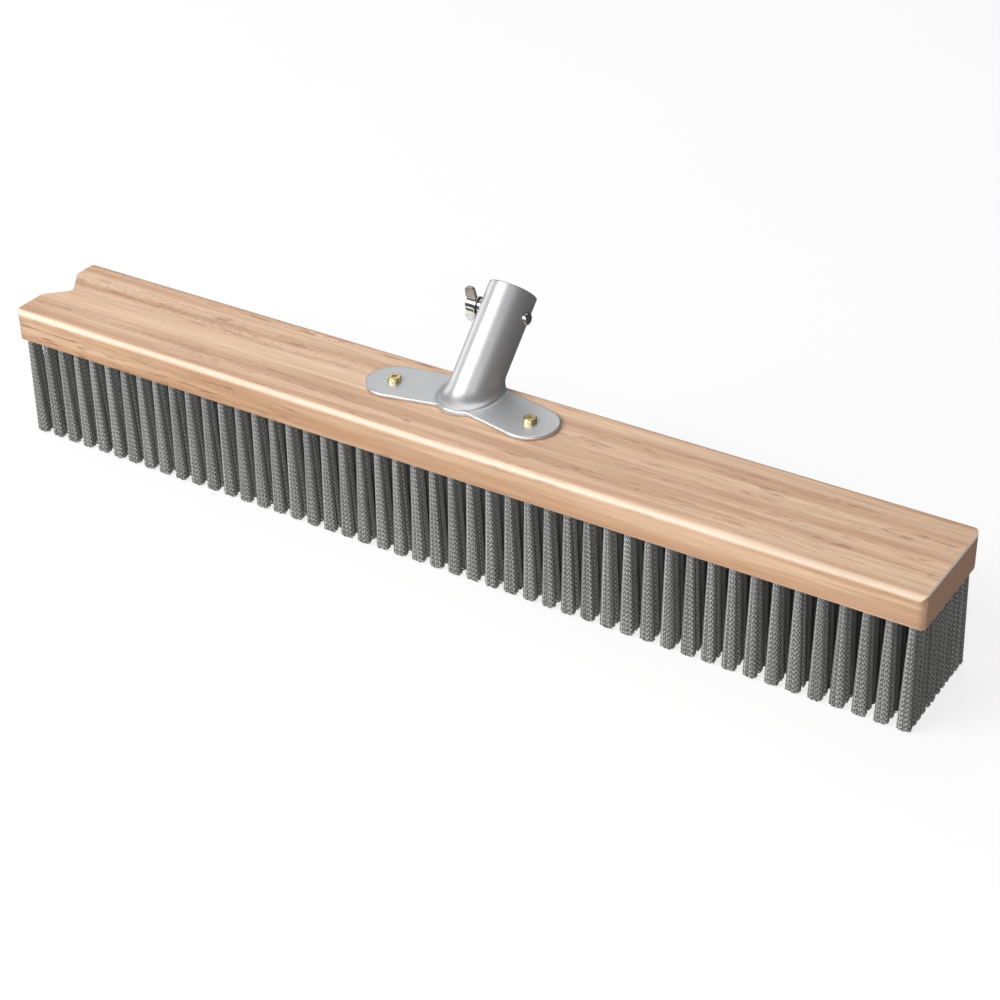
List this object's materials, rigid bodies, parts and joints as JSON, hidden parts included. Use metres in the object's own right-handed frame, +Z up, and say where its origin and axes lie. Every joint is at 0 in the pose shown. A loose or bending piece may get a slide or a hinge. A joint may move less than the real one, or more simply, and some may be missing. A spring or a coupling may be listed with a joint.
{
  "type": "push broom head",
  "caption": "Push broom head: long wooden block with dense rows of crimped grey bristle tufts and a tilted metal handle socket with screw ears and a wing screw.",
  "frame": {"origin": "on the floor under the tips, at the middle of the box that holds the whole head (its front is the block's front face, its back is the back of the socket rim)", "axes": "+X along the block, away from the notched end; +Y towards the side that the socket leans to; +Z up"},
  "size_m": [0.61, 0.112, 0.1458],
  "materials": {
    "beech": "satin",
    "grey_filament": "crimped filament, semi matt",
    "anchor_wire": "flat wire",
    "satin_bracket_metal": "satin",
    "yellow_passivated_steel": "yellow passivated",
    "plated_steel": "bright plated",
    "bright_cast_zinc": "bright cast"
  },
  "bodies": {
    "root": {"block": "beech", "bristle_row_1": "grey_filament", "bristle_row_2": "grey_filament", "bristle_row_3": "grey_filament", "bristle_row_4": "grey_filament", "bristle_row_5": "grey_filament", "bristle_row_6": "grey_filament", "tuft_anchors_row_1": "anchor_wire", "tuft_anchors_row_2": "anchor_wire", "tuft_anchors_row_3": "anchor_wire", "tuft_anchors_row_4": "anchor_wire", "tuft_anchors_row_5": "anchor_wire", "tuft_anchors_row_6": "anchor_wire", "socket_bracket": "satin_bracket_metal", "bracket_screw_left": "yellow_passivated_steel", "bracket_screw_right": "yellow_passivated_steel", "threaded_insert": "plated_steel", "socket_rivet": "plated_steel"},
    "clamp_washer": {"screw_washer": "plated_steel"},
    "wing_screw": {"wing_screw_stud": "plated_steel", "wing_handle": "bright_cast_zinc"}
  },
  "joints": [
    {"name": "wing_screw_advance", "type": "slide", "parent": "root", "child": "clamp_washer", "axis": [1, 0, 0], "range_m": [-0.004, 0.001]},
    {"name": "wing_screw_turn", "type": "hinge", "parent": "clamp_washer", "child": "wing_screw", "pos_m": [0, 0.0354, 0.12515], "axis": [1, 0, 0], "range_deg": [-1440, 360]}
  ],
  "couplings": [
    {"joint": "wing_screw_advance", "follows": "wing_screw_turn", "m_per_rad": 0.00015915}
  ]
}
